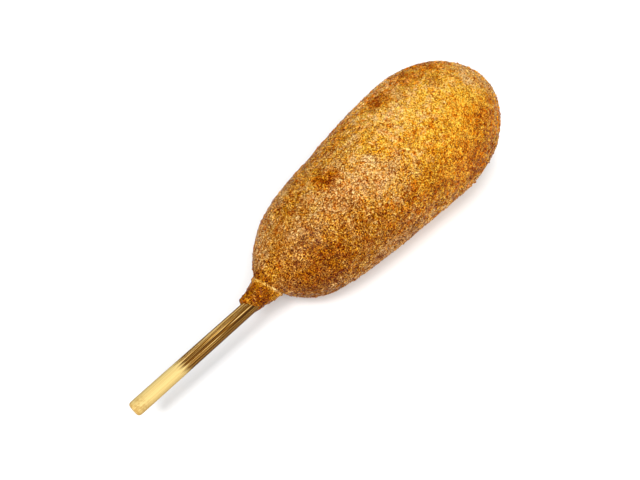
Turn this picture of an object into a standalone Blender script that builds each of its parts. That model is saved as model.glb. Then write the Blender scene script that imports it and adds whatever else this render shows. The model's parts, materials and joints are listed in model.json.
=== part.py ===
"""Corn dog: a club of fried cornmeal batter on a round wooden stick.

Metres, +Z up, +X from the stick's end to the food's tip. The food lies on a
small flat spot under its belly, so its axis falls towards the thin end and
carries the stick clear of the surface.
"""
import math

import bmesh
import bpy
from mathutils import Matrix, Vector

# Stick: a dowel pushed into the food.
STICK_DIAMETER = 0.0039
STICK_LENGTH = 0.125
STICK_BARE = 0.0395            # from its end to the batter's lip
STICK_EDGE_ROUND = 0.0008
STICK_SIDES = 24
FIT_GAP = 0.0003               # between the dowel and the batter round it

# Club: from the crease at its collar (distance 0) to the tip.
BELLY_RADIUS = 0.02285
BELLY_AT = 0.0763
TIP_LENGTH = 0.0313            # from the belly to the tip
TIP_POWER = 2.05               # 2 is an ellipse, more is blunter
FLANK_TAPER = 0.407            # share of the belly's radius lost at the crease
FLANK_POWER = 1.48
SHOULDER_LENGTH = 0.0287
SHOULDER_PINCH = 0.305         # share of the flank's radius left at the crease
SHOULDER_POWER = 3.65

# Collar: the cuff of batter that ran down the stick.
COLLAR_LENGTH = 0.0080
COLLAR_RADIUS = 0.0040
COLLAR_OFFSET = Vector((0.0, -0.00030, -0.00017))
LIP_RADIUS = 0.0027
LIP_ROUND = 0.0005
LIP_SKEW = 0.0011              # the cuff stops this much sooner on its far side
LIP_SIDE = math.radians(209)
CREASE_SKEW = 0.0020           # the crease lies this much nearer the tip below
CREASE_SIDE = math.radians(248)
CREASE_REACH = 0.0110          # along the club, until the lean has faded

# How the dowel sits in the food: sideways offset at the crease, and drift.
STICK_OFFSET = Vector((0.0, -0.00105, -0.00058))
STICK_DRIFT = Vector((0.0, -0.0262, -0.0145))

# Unevenness of the fried surface.
BOW = Vector((0.0, 0.00022, 0.00012))
LUMP_HEIGHT = 0.00018
TIP_FADE = 0.004               # the unevenness dies away at the very tip
FURROW_DEPTH = 0.0005
FURROW_WIDTH = 0.0045
FURROW_SPAN = (0.050, 0.102)   # along the club
FURROW_SIDE = (math.radians(56), math.radians(98))

# How the food lies.
AXIS_RISE = math.radians(4.8)
FLAT_DEPTH = 0.0005            # flattened off the underside

# Mesh density.
SIDES = 72
TIP_RINGS = 15
FLANK_RINGS = 20
SHOULDER_RINGS = 16
SHOULDER_CROWDING = 1.5        # above 1 sets the rings closer at the crease
COLLAR_RINGS = 8


def clear_scene():
    """Remove every object that is already there."""
    for obj in list(bpy.data.objects):
        bpy.data.objects.remove(obj, do_unlink=True)


def finish(name, color, roughness):
    """Return a Principled material of one colour."""
    material = bpy.data.materials.new(name)
    material.use_nodes = True
    shader = material.node_tree.nodes["Principled BSDF"]
    shader.inputs["Base Color"].default_value = (*color, 1.0)
    shader.inputs["Roughness"].default_value = roughness
    shader.inputs["Metallic"].default_value = 0.0
    return material


def ease(value):
    """Return a smooth step of value held between 0 and 1."""
    value = min(max(value, 0.0), 1.0)
    return value * value * (3.0 - 2.0 * value)


def body_radius(along):
    """Return the club's radius at a distance from the crease."""
    if along >= BELLY_AT:
        past = min((along - BELLY_AT) / TIP_LENGTH, 1.0)
        return BELLY_RADIUS * math.sqrt(1.0 - past ** TIP_POWER)
    before = 1.0 - along / BELLY_AT
    flank = BELLY_RADIUS * (1.0 - FLANK_TAPER * before ** FLANK_POWER)
    left = max(1.0 - along / SHOULDER_LENGTH, 0.0)
    shoulder = 1.0 - (1.0 - SHOULDER_PINCH) * left ** SHOULDER_POWER
    return flank * shoulder


def collar_radius(back):
    """Return the cuff's radius, from the crease (0) back to the lip (1)."""
    flare = COLLAR_RADIUS - (COLLAR_RADIUS - LIP_RADIUS) * back
    edge = max(back * COLLAR_LENGTH - COLLAR_LENGTH + LIP_ROUND, 0.0) / LIP_ROUND
    return flare - LIP_ROUND * (1.0 - math.sqrt(1.0 - edge * edge))


def body_stations():
    """Return distances along the club, from beside the tip to the crease."""
    stations = []
    for ring in range(1, TIP_RINGS + 1):
        turn = math.pi / 2 * ring / TIP_RINGS
        stations.append(BELLY_AT + TIP_LENGTH * math.cos(turn))
    flank = BELLY_AT - SHOULDER_LENGTH
    for ring in range(1, FLANK_RINGS + 1):
        stations.append(BELLY_AT - flank * ring / FLANK_RINGS)
    for ring in range(1, SHOULDER_RINGS + 1):
        left = 1.0 - ring / SHOULDER_RINGS
        stations.append(SHOULDER_LENGTH * left ** SHOULDER_CROWDING)
    return stations


def collar_stations():
    """Return distances along the cuff, from the crease back to the lip."""
    stations = []
    for ring in range(COLLAR_RINGS):
        turn = math.pi / 2 * ring / (COLLAR_RINGS - 1)
        stations.append(-COLLAR_LENGTH * math.sin(turn))
    return stations


def lumps(along, angle):
    """Return the unevenness of the skin, in metres, at a place on it."""
    length = BELLY_AT + TIP_LENGTH
    run = 2.0 * math.pi * along / length
    waves = 0.55 * math.sin(2.0 * angle + 1.4 * run + 0.6)
    waves += 0.45 * math.sin(3.0 * angle - 2.3 * run + 2.1)
    waves += 0.30 * math.sin(5.0 * angle + 3.1 * run + 4.0)
    waves += 0.25 * math.sin(4.0 * run + 2.0 * math.cos(angle))
    return LUMP_HEIGHT * waves


def furrow(along, angle):
    """Return the depth of the shallow furrow that runs beside the tip."""
    start, end = FURROW_SPAN
    share = (along - start) / (end - start)
    if not 0.0 < share < 1.0:
        return 0.0
    side = FURROW_SIDE[0] + (FURROW_SIDE[1] - FURROW_SIDE[0]) * share
    turn = math.remainder(angle - side, 2.0 * math.pi)
    across = turn * body_radius(along) / FURROW_WIDTH
    fade = math.sin(math.pi * share) ** 2
    return FURROW_DEPTH * fade * math.exp(-across * across)


def body_centre(along):
    """Return the club's axis, slightly bowed, at a distance from the crease."""
    share = min(max(along / (BELLY_AT + TIP_LENGTH), 0.0), 1.0)
    neck = COLLAR_OFFSET * (1.0 - ease(along / CREASE_REACH))
    return Vector((along, 0.0, 0.0)) + BOW * math.sin(math.pi * share) + neck


def round_axis(centre, lean, radius, angle):
    """Return a point at a radius and angle round a centre, shifted along by lean."""
    return centre + Vector((lean, math.cos(angle) * radius, math.sin(angle) * radius))


def stick_centre(along):
    """Return the dowel's axis at a distance from the crease."""
    return Vector((along, 0.0, 0.0)) + STICK_OFFSET + STICK_DRIFT * along


def body_ring(along):
    """Return one ring of points on the club."""
    length = BELLY_AT + TIP_LENGTH
    away = ease(along / CREASE_REACH)
    fade = away * ease((length - along) / TIP_FADE)
    points = []
    for step in range(SIDES):
        angle = 2.0 * math.pi * step / SIDES
        relief = (lumps(along, angle) - furrow(along, angle)) * fade
        radius = body_radius(along) + relief
        lean = CREASE_SKEW * (1.0 - away) * math.cos(angle - CREASE_SIDE)
        points.append(round_axis(body_centre(along), lean, radius, angle))
    return points


def collar_ring(along):
    """Return one ring of points on the cuff, at a negative distance along."""
    back = -along / COLLAR_LENGTH
    centre = body_centre(along).lerp(stick_centre(along), ease(back))
    radius = collar_radius(back)
    points = []
    for step in range(SIDES):
        angle = 2.0 * math.pi * step / SIDES
        crease_lean = CREASE_SKEW * math.cos(angle - CREASE_SIDE)
        lip_lean = LIP_SKEW * math.cos(angle - LIP_SIDE)
        lean = crease_lean + (lip_lean - crease_lean) * back
        points.append(round_axis(centre, lean, radius, angle))
    return points


def stick_ring(along, radius, sides):
    """Return one ring of points round the dowel's axis."""
    centre = stick_centre(along)
    turns = [2.0 * math.pi * step / sides for step in range(sides)]
    return [round_axis(centre, 0.0, radius, angle) for angle in turns]


def skin(name, first_pole, rings, last_pole, material):
    """Make a closed object from rings of points between two poles."""
    mesh = bmesh.new()
    start = mesh.verts.new(first_pole)
    loops = [[mesh.verts.new(point) for point in ring] for ring in rings]
    end = mesh.verts.new(last_pole)
    sides = len(loops[0])
    for step in range(sides):
        after = (step + 1) % sides
        mesh.faces.new((start, loops[0][step], loops[0][after]))
        mesh.faces.new((end, loops[-1][after], loops[-1][step]))
        for near, far in zip(loops, loops[1:]):
            mesh.faces.new((near[step], far[step], far[after], near[after]))
    bmesh.ops.recalc_face_normals(mesh, faces=mesh.faces)
    bmesh.ops.triangulate(mesh, faces=[face for face in mesh.faces if len(face.verts) > 3])
    data = bpy.data.meshes.new(name)
    mesh.to_mesh(data)
    mesh.free()
    data.shade_smooth()
    data.materials.append(material)
    obj = bpy.data.objects.new(name, data)
    bpy.context.scene.collection.objects.link(obj)
    return obj


def make_batter():
    """Make the batter: club, crease and cuff, with the dowel's blind bore."""
    rings = [body_ring(along) for along in body_stations()]
    rings += [collar_ring(along) for along in collar_stations()]
    bore = STICK_DIAMETER / 2 + FIT_GAP
    bore_end = STICK_LENGTH - STICK_BARE - COLLAR_LENGTH + FIT_GAP
    rings.append(stick_ring(-COLLAR_LENGTH + LIP_SKEW, bore, SIDES))
    rings.append(stick_ring(bore_end, bore, SIDES))
    tip = body_centre(BELLY_AT + TIP_LENGTH)
    material = finish("cooked_batter", (0.62, 0.30, 0.07), 0.6)
    return skin("batter", tip, rings, stick_centre(bore_end), material)


def make_stick():
    """Make the wooden dowel, its edges softened at both ends."""
    radius = STICK_DIAMETER / 2
    end = -COLLAR_LENGTH - STICK_BARE
    inner = end + STICK_LENGTH
    rings = [
        stick_ring(end, radius - STICK_EDGE_ROUND, STICK_SIDES),
        stick_ring(end + STICK_EDGE_ROUND, radius, STICK_SIDES),
        stick_ring(-COLLAR_LENGTH, radius, STICK_SIDES),
        stick_ring(inner - STICK_EDGE_ROUND, radius, STICK_SIDES),
        stick_ring(inner, radius - STICK_EDGE_ROUND, STICK_SIDES),
    ]
    material = finish("stick_wood", (0.80, 0.62, 0.34), 0.7)
    return skin("stick", stick_centre(end), rings, stick_centre(inner), material)


def lay_down(batter, stick):
    """Tilt the food, set it on its flat spot and centre it over the origin."""
    pieces = (batter, stick)
    for piece in pieces:
        piece.data.transform(Matrix.Rotation(-AXIS_RISE, 4, "Y"))
    lowest = min(vertex.co.z for vertex in batter.data.vertices)
    points = [vertex.co for piece in pieces for vertex in piece.data.vertices]
    middle_x = (min(point.x for point in points) + max(point.x for point in points)) / 2
    middle_y = (min(point.y for point in points) + max(point.y for point in points)) / 2
    shift = Matrix.Translation((-middle_x, -middle_y, -lowest - FLAT_DEPTH))
    for piece in pieces:
        piece.data.transform(shift)
    for vertex in batter.data.vertices:
        vertex.co.z = max(vertex.co.z, 0.0)


def main():
    """Build the corn dog."""
    clear_scene()
    lay_down(make_batter(), make_stick())


main()
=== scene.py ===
"""Looks of a corn dog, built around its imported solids.

The crust is a fine skin over the batter's solid, with swells, blisters, pores
and grit as real relief. The stick is a round dowel with raised grain, pale
where it stayed dry and browned where it was fried.
"""
from __future__ import annotations

import json
import logging
import math
from dataclasses import dataclass
from enum import Enum
from typing import Callable, Union

import bmesh
import bpy
import numpy as np
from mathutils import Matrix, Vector

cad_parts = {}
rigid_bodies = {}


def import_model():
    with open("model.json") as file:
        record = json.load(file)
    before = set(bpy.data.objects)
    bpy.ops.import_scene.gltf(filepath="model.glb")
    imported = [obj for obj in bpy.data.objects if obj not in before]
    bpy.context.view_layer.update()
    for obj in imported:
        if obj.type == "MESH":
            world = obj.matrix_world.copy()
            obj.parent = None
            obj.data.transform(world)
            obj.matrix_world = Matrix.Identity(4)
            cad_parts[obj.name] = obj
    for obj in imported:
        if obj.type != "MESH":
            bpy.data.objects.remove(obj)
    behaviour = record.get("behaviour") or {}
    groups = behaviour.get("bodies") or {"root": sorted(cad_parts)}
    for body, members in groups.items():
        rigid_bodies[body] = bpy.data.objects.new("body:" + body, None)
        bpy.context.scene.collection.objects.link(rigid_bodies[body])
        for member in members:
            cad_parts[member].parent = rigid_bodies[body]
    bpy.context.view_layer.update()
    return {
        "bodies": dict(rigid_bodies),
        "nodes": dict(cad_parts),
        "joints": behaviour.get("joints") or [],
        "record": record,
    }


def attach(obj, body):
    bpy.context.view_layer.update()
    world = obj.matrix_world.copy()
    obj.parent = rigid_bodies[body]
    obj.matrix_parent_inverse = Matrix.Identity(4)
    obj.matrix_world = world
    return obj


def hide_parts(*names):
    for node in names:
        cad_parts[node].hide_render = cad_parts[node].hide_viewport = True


log = logging.getLogger("corn_dog")

MM = 0.001

# How the club lies: its length from crease to tip, and the rise of its axis.
CLUB_LENGTH = 107.6 * MM
CLUB_RISE = math.radians(4.8)
# The crease lies this much nearer the tip on this side of the club.
CREASE_SKEW = 2.0 * MM
CREASE_SIDE = math.radians(248)

Pair = tuple[float, float]
Triple = tuple[float, float, float]
Color = tuple[float, float, float, float]
Ramp = tuple[tuple[float, Color], ...]
Material = bpy.types.Material
Mesh = bpy.types.Mesh
Object = bpy.types.Object
Socket = bpy.types.NodeSocket
Term = Union["Signal", float]


def linear(value: int) -> float:
    """Return the linear share of a display value from 0 to 255."""
    share = value / 255
    return share / 12.92 if share <= 0.04045 else ((share + 0.055) / 1.055) ** 2.4


def from_srgb(red: int, green: int, blue: int) -> Color:
    """Return the linear colour of a display colour."""
    return linear(red), linear(green), linear(blue), 1.0


def ramp(*stops: tuple[float, int, int, int]) -> Ramp:
    """Return a colour ramp from rows of place, red, green and blue."""
    return tuple((place, from_srgb(*color)) for place, *color in stops)


# Node trees written as Python expressions.


def joined(operation: str, swapped: bool = False) -> Callable[[Signal, Term], Signal]:
    """Make an operator that joins a signal and a term.

    Args:
        operation: the Math node's operation.
        swapped: whether the term stands before the signal.

    Returns:
        A method for the Signal class.
    """
    def method(self: Signal, other: Term) -> Signal:
        """Return the Math node's result."""
        terms = (other, self) if swapped else (self, other)
        return self.graph.math(operation, *terms)
    return method


class Signal:
    """A number socket of a node tree, used in Python expressions."""

    def __init__(self, graph: Graph, socket: Socket) -> None:
        """Keep the socket and the graph that it belongs to."""
        self.graph = graph
        self.socket = socket

    __add__ = joined("ADD")
    __radd__ = joined("ADD", swapped=True)
    __sub__ = joined("SUBTRACT")
    __rsub__ = joined("SUBTRACT", swapped=True)
    __mul__ = joined("MULTIPLY")
    __rmul__ = joined("MULTIPLY", swapped=True)
    __truediv__ = joined("DIVIDE")
    __rtruediv__ = joined("DIVIDE", swapped=True)
    at_least = joined("MAXIMUM")
    at_most = joined("MINIMUM")

    def __abs__(self) -> Signal:
        """Return the size of self without its sign."""
        return self.graph.math("ABSOLUTE", self)

    def clamped(self) -> Signal:
        """Return self held between 0 and 1."""
        return self.at_least(0.0).at_most(1.0)

    def step(self, low: float, high: float) -> Signal:
        """Return a smooth rise from 0 at low to 1 at high.

        Args:
            low: value of self where the result is 0.
            high: value of self where it is 1; it may lie below low.

        Returns:
            The rise, from 0 to 1.
        """
        rising = low < high
        inputs = {
            "Value": self,
            "From Min": min(low, high),
            "From Max": max(low, high),
            "To Min": 0.0 if rising else 1.0,
            "To Max": 1.0 if rising else 0.0,
        }
        settings = {"interpolation_type": "SMOOTHSTEP"}
        return self.graph.node("ShaderNodeMapRange", settings, inputs).signal("Result")


class Made:
    """A node just made, whose outputs are read by name."""

    def __init__(self, graph: Graph, node: bpy.types.Node) -> None:
        """Keep the node and its graph."""
        self.graph = graph
        self.node = node

    def socket(self, name: Union[str, int] = 0) -> Socket:
        """Return an output socket by name or place."""
        return self.node.outputs[name]

    def signal(self, name: Union[str, int] = 0) -> Signal:
        """Return an output as a number to calculate with."""
        return Signal(self.graph, self.node.outputs[name])


@dataclass(frozen=True)
class Mottle:
    """Soft noise: patch width, finer octaves, which noise, their share, and the levels of its edge."""

    size: float
    detail: float
    seed: float
    rough: float = 0.5
    edge: Pair | None = None


class Graph:
    """A shader or geometry node tree under construction."""

    def __init__(self, tree: bpy.types.NodeTree) -> None:
        """Start with an empty tree."""
        self.tree = tree
        tree.nodes.clear()

    def node(self, kind: str, settings: dict | None = None, inputs: dict | None = None) -> Made:
        """Add one node.

        Args:
            kind: the node's type name.
            settings: its properties, set first; "stops" fills a colour ramp.
            inputs: values, sockets or signals by the input's name or place.

        Returns:
            The node, whose outputs are read by name.
        """
        made = self.tree.nodes.new(kind)
        for name, value in (settings or {}).items():
            if name == "stops":
                self._fill_ramp(made.color_ramp, value)
            else:
                setattr(made, name, value)
        for name, value in (inputs or {}).items():
            target = made.inputs[name]
            if isinstance(value, Signal):
                self.tree.links.new(value.socket, target)
            elif isinstance(value, Socket):
                self.tree.links.new(value, target)
            else:
                target.default_value = value
        return Made(self, made)

    def _fill_ramp(self, color_ramp: bpy.types.ColorRamp, stops: Ramp) -> None:
        """Give a colour ramp its stops.

        Args:
            color_ramp: the ramp of a node just made.
            stops: the places and colours that it gets.
        """
        while len(color_ramp.elements) < len(stops):
            color_ramp.elements.new(0.5)
        for element, (place, color) in zip(color_ramp.elements, stops):
            element.position = place
            element.color = color

    def math(self, operation: str, *values: Term) -> Signal:
        """Add a Math node of the given operation and return its result."""
        inputs = dict(enumerate(values))
        return self.node("ShaderNodeMath", {"operation": operation}, inputs).signal()

    def vector(self, operation: str, *values: object) -> Made:
        """Add a Vector Math node of the given operation."""
        inputs = dict(enumerate(values))
        return self.node("ShaderNodeVectorMath", {"operation": operation}, inputs)

    def scaled(self, vector: Socket, factor: Term) -> Socket:
        """Return a vector times a number."""
        inputs = {0: vector, "Scale": factor}
        return self.node("ShaderNodeVectorMath", {"operation": "SCALE"}, inputs).socket()

    def combined(self, x: Term = 0.0, y: Term = 0.0, z: Term = 0.0) -> Socket:
        """Return the vector of three numbers."""
        return self.node("ShaderNodeCombineXYZ", None, {"X": x, "Y": y, "Z": z}).socket()

    def blend(self, factor: Term, first: object, second: object, mode: str = "MIX") -> Socket:
        """Mix two colours.

        Args:
            factor: 0 gives the first colour, 1 the second.
            first, second: colour sockets or plain colours.
            mode: the Mix node's blend type.

        Returns:
            The colour socket.
        """
        settings = {"data_type": "RGBA", "blend_type": mode, "clamp_factor": True}
        inputs = {0: factor, 6: first, 7: second}
        return self.node("ShaderNodeMix", settings, inputs).socket(2)

    def noise(self, place: object, size: Term, detail: float = 2.0, seed: Term = 0.0,
              rough: float = 0.5, twist: float = 0.0) -> Signal:
        """Return soft noise from 0 to 1.

        Args:
            place: the vector that the noise is read at.
            size: the width of its patches, in the vector's unit.
            detail: how many finer octaves are added.
            seed: which of many noises this is.
            rough: the share that each finer octave adds.
            twist: how much the noise is drawn into swirls.

        Returns:
            The noise at each point.
        """
        inputs = {
            "Vector": place,
            "W": seed,
            "Scale": 1.0 / size,
            "Detail": detail,
            "Roughness": rough,
            "Distortion": twist,
        }
        return self.node("ShaderNodeTexNoise", {"noise_dimensions": "4D"}, inputs).signal()


class ShaderGraph(Graph):
    """A material's node tree around one Principled shader."""

    def __init__(self, name: str) -> None:
        """Make the material and read its coordinates, in millimetres.

        Args:
            name: the material's name.
        """
        self.material = bpy.data.materials.new(name)
        self.material.use_nodes = True
        super().__init__(self.material.node_tree)
        spot = self.node("ShaderNodeTexCoord").socket("Object")
        self.place = self.scaled(spot, 1.0 / MM)

    def attribute(self, name: str) -> Signal:
        """Return a number stored on the mesh."""
        return self.node("ShaderNodeAttribute", {"attribute_name": name}).signal("Fac")

    def mottle(self, kind: Mottle, place: Socket | None = None) -> Signal:
        """Add noise of a kind.

        Args:
            kind: the noise's sizes and its edge.
            place: where it is read, if not at the point itself.

        Returns:
            The noise, drawn to 0 and 1 past the levels of its edge if it has one.
        """
        place = self.place if place is None else place
        noise = self.noise(place, kind.size, kind.detail, kind.seed, kind.rough)
        return noise.step(*kind.edge) if kind.edge else noise

    def veins(self, place: Socket, size: float, seed: float, edge: Pair,
              twist: float = 0.0) -> Signal:
        """Return thin wandering lines: 0 and 1 at an edge's two distances from the noise's middle."""
        return abs(self.noise(place, size, 0.0, seed, 0.5, twist) - 0.5).step(*edge)

    def colored(self, stops: Ramp, value: Signal) -> Socket:
        """Return the colour that a ramp has at a value."""
        return self.node("ShaderNodeValToRGB", {"stops": stops}, {0: value}).socket()

    def bump(self, height: Signal, depth: float, normal: object = None) -> Socket:
        """Raise the shading by a height.

        Args:
            height: the relief, from 0 to 1.
            depth: what a height of 1 stands for, in metres.
            normal: the normal that this relief is added to.

        Returns:
            The normal with this relief.
        """
        inputs = {"Height": height, "Distance": depth, "Strength": 1.0}
        if normal is not None:
            inputs["Normal"] = normal
        return self.node("ShaderNodeBump", None, inputs).socket("Normal")

    def finish(self, inputs: dict) -> Material:
        """Close the tree with a Principled shader.

        Args:
            inputs: what its sockets get, by name.

        Returns:
            The finished material.
        """
        shader = self.node("ShaderNodeBsdfPrincipled", None, inputs)
        self.node("ShaderNodeOutputMaterial", None, {"Surface": shader.socket("BSDF")})
        return self.material


class GeometryGraph(Graph):
    """A geometry node tree with named inputs, run once as a modifier."""

    def __init__(self, name: str) -> None:
        """Make the tree with a geometry coming in and one going out.

        Args:
            name: the tree's name.
        """
        super().__init__(bpy.data.node_groups.new(name, "GeometryNodeTree"))
        for way in ("INPUT", "OUTPUT"):
            self.tree.interface.new_socket("Geometry", in_out=way, socket_type="NodeSocketGeometry")
        self.values: dict[str, float] = {}
        self.entry = self.node("NodeGroupInput")

    def given(self, name: str, value: float) -> Signal:
        """Add a named number that comes in.

        Args:
            name: the input's name.
            value: what it is set to; a whole number makes an input of whole numbers.

        Returns:
            The number that comes in.
        """
        kind = "NodeSocketInt" if isinstance(value, int) else "NodeSocketFloat"
        socket = self.tree.interface.new_socket(name, in_out="INPUT", socket_type=kind)
        self.values[socket.identifier] = value
        return self.entry.signal(name)

    def sized(self, name: str, sizes: Pair) -> tuple[Signal, Signal]:
        """Return the named height and width of one scale of relief."""
        return self.given(name + " Height", sizes[0]), self.given(name + " Width", sizes[1])

    def attribute(self, name: str) -> Signal:
        """Return a number stored on the geometry."""
        return self.node("GeometryNodeInputNamedAttribute", None, {"Name": name}).signal("Attribute")

    def position(self) -> Socket:
        """Return where the geometry's points are."""
        return self.node("GeometryNodeInputPosition").socket()

    def random(self, low: Term, high: Term, seed: Term) -> Signal:
        """Return a random number for each point."""
        inputs = {2: low, 3: high, "Seed": seed}
        return self.node("FunctionNodeRandomValue", {"data_type": "FLOAT"}, inputs).signal(1)

    def random_vector(self, low: Triple, high: Triple, seed: Term) -> Socket:
        """Return a random vector for each point."""
        inputs = {0: low, 1: high, "Seed": seed}
        return self.node("FunctionNodeRandomValue", {"data_type": "FLOAT_VECTOR"}, inputs).socket()

    def stored(self, geometry: Socket, domain: str, name: str, value: Signal) -> Socket:
        """Store a number on the geometry.

        Args:
            geometry: what it is stored on.
            domain: whether each point or each instance has its own.
            name: what it is read by.
            value: the number.

        Returns:
            The geometry that holds it.
        """
        settings = {"data_type": "FLOAT", "domain": domain}
        inputs = {"Geometry": geometry, "Name": name, "Value": value}
        return self.node("GeometryNodeStoreNamedAttribute", settings, inputs).socket()

    def close(self, geometry: Socket, material: Material) -> None:
        """End the tree in real geometry that wears a material.

        Args:
            geometry: what the tree has made.
            material: what it wears.
        """
        real = self.node("GeometryNodeRealizeInstances", None, {"Geometry": geometry})
        inputs = {"Geometry": real.socket(), "Material": material}
        dressed = self.node("GeometryNodeSetMaterial", None, inputs)
        self.node("NodeGroupOutput", None, {"Geometry": dressed.socket()})

    def run_on(self, source: Mesh, name: str) -> Object:
        """Run the tree on a mesh.

        Args:
            source: the mesh that goes in.
            name: the name of the piece that comes out.

        Returns:
            A plain mesh object at the origin, with no modifier.
        """
        carrier = link(name + "_carrier", source)
        modifier = carrier.modifiers.new("nodes", "NODES")
        modifier.node_group = self.tree
        for identifier, value in self.values.items():
            modifier[identifier] = value
        mesh = applied(carrier)
        mesh.name = name
        mesh.shade_smooth()
        return link(name, mesh)


def link(name: str, data: object) -> Object:
    """Add an object to the scene.

    Args:
        name: the object's name.
        data: the mesh, light or camera that it holds.

    Returns:
        The new object.
    """
    made = bpy.data.objects.new(name, data)
    bpy.context.scene.collection.objects.link(made)
    return made


def applied(carrier: Object) -> Mesh:
    """Turn what an object's modifier makes into a plain mesh.

    Args:
        carrier: the object, which is removed.

    Returns:
        The finished mesh.
    """
    scene = bpy.context.evaluated_depsgraph_get()
    mesh = bpy.data.meshes.new_from_object(carrier.evaluated_get(scene), depsgraph=scene)
    bpy.data.objects.remove(carrier, do_unlink=True)
    return mesh


# The food's own measure: distances along its axis and angles round it.


@dataclass
class FoodAxis:
    """The lines through club and stick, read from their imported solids."""

    start: Vector
    along: Vector
    side: Vector
    up: Vector
    stick_end: Vector
    stick_along: Vector
    stick_radius: float
    stick_length: float
    lip: float

    @classmethod
    def from_frame(cls, frame: dict) -> FoodAxis:
        """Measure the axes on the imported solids.


        Returns:
            The club's axis from its crease, and the stick's from its bare end.
        """
        stick = points_of(frame["nodes"]["stick"].data)
        batter = points_of(frame["nodes"]["batter"].data)
        bare = end_centre(stick, -1.0)
        reach = end_centre(stick, 1.0) - bare
        stick_along = reach.normalized()
        gaps = [(Vector(point) - bare).cross(stick_along).length for point in stick]
        along = Vector((math.cos(CLUB_RISE), 0.0, math.sin(CLUB_RISE)))
        side = Vector((0.0, 1.0, 0.0))
        tip = Vector(batter[(batter @ np.array(along)).argmax()])
        start = tip - along * CLUB_LENGTH
        lip = float(((batter - np.array(bare)) @ np.array(stick_along)).min())
        return cls(start, along, side, along.cross(side), bare, stick_along, max(gaps), reach.length, lip)

    def spot(self, along: float, around: float, radius: float) -> Vector:
        """Find a point by its place on the club.

        Args:
            along: distance from the crease, in metres.
            around: angle round the axis, in degrees.
            radius: distance from the axis, in metres.

        Returns:
            Where the point is.
        """
        turn = math.radians(around)
        out = self.side * math.cos(turn) + self.up * math.sin(turn)
        return self.start + self.along * along + out * radius

    def round_club(self, points: np.ndarray) -> Places:
        """Return where points lie along and round the club."""
        return Places(points, self.start, self.along, self.side, self.up)

    def round_stick(self, points: np.ndarray) -> Places:
        """Measure points against the stick.

        Args:
            points: where they are.

        Returns:
            How they lie along and round it, from its bare end.
        """
        side = (self.side - self.stick_along * self.side.dot(self.stick_along)).normalized()
        up = self.stick_along.cross(side)
        return Places(points, self.stick_end, self.stick_along, side, up)

    def off_stick(self, points: np.ndarray, low: float, high: float) -> np.ndarray:
        """Return a smooth step, 0 at low and 1 at high over the stick's surface."""
        return rise(self.round_stick(points).radius, self.stick_radius + low, self.stick_radius + high)


class Places:
    """Points measured against an axis, as arrays."""

    def __init__(self, points: np.ndarray, start: Vector, along: Vector, side: Vector, up: Vector) -> None:
        """Measure how far along, at what angle and how far out the points lie.

        Args:
            points: where they are.
            start: where the axis starts.
            along: the way it runs.
            side: the way out at an angle of 0.
            up: the way out at a right angle.
        """
        offset = points - np.array(start)
        across = offset @ np.array(side)
        height = offset @ np.array(up)
        self.along = offset @ np.array(along)
        self.around = np.arctan2(height, across)
        self.radius = np.hypot(across, height)
        self.out = np.outer(np.cos(self.around), side) + np.outer(np.sin(self.around), up)


def end_centre(points: np.ndarray, way: float) -> Vector:
    """Return the middle of the points at one end of a long piece."""
    reach = points[:, 0] * way
    return Vector(points[reach > reach.max() - 0.7 * MM].mean(0))


def points_of(mesh: Mesh) -> np.ndarray:
    """Read where a mesh's vertices are.

    Args:
        mesh: the mesh, which isn't changed.

    Returns:
        Their positions, a row for each.
    """
    flat = np.empty(len(mesh.vertices) * 3)
    mesh.vertices.foreach_get("co", flat)
    return flat.reshape(-1, 3)


def rise(values: np.ndarray, low: float, high: float) -> np.ndarray:
    """Return a smooth step from 0 at low to 1 at high, either way round."""
    share = np.clip((values - low) / (high - low), 0.0, 1.0)
    return share * share * (3.0 - 2.0 * share)


def bell(gaps: np.ndarray, spread: float) -> np.ndarray:
    """Return a soft bump: 1 at no gap, and 0 far from it."""
    return np.exp(-(gaps / spread) ** 2)


@dataclass(frozen=True)
class Lobe:
    """A soft bump to one side of an axis: its height, and its middle and spread in degrees."""

    height: float
    side: float
    spread: float

    def over(self, turns: np.ndarray) -> np.ndarray:
        """Return the bump's height at angles round the axis."""
        gaps = np.angle(np.exp(1j * (turns - math.radians(self.side))))
        return self.height * bell(gaps, math.radians(self.spread))


def store(mesh: Mesh, name: str, values: np.ndarray) -> None:
    """Store a number for each vertex of a mesh."""
    layer = mesh.attributes.new(name, "FLOAT", "POINT")
    layer.data.foreach_set("value", values.astype(np.float32))


# The crust's looks.


class FoodGraph(ShaderGraph):
    """A crust material's tree, which also knows its place on the food in millimetres."""

    def __init__(self, name: str, axis: FoodAxis) -> None:
        """Measure from the middle of the crease: along the club, to its side and up.

        Args:
            name: the material's name.
            axis: the food's axis.
        """
        super().__init__(name)
        self.axis = axis
        self.offset = self.vector("SUBTRACT", self.place, axis.start / MM).socket()
        self.along = self.vector("DOT_PRODUCT", self.offset, axis.along).signal("Value")
        self.side = self.vector("DOT_PRODUCT", self.offset, axis.side).signal("Value")
        self.up = self.vector("DOT_PRODUCT", self.offset, axis.up).signal("Value")


@dataclass
class BrowningAndPaintedLight:
    """How brown, how pale and how red the crust is, with its painted highlights, sheen and shade added in."""

    tone: Signal
    pale: Signal
    rust: Signal

    def add(self, mask: Signal, tone: float = 0.0, pale: float = 0.0, rust: float = 0.0) -> None:
        """Add a share of a mask to each of the three.

        Args:
            mask: where the crust changes, and how much.
            tone: how much lighter it gets there.
            pale: how much paler it gets.
            rust: how much redder it gets.
        """
        for name, share in (("tone", tone), ("pale", pale), ("rust", rust)):
            if share:
                setattr(self, name, getattr(self, name) + mask * share)


@dataclass(frozen=True)
class Patch:
    """A soft-edged patch of the crust, and what it adds to the browning and painted light there.

    Its place is given in mm along the club and in degrees round it, its size
    in mm, and the distance of its middle from the club's axis in mm.
    """

    along: float
    around: float
    size: float
    tone: float = 0.0
    pale: float = 0.0
    rust: float = 0.0
    out: float = 20.0


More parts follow.
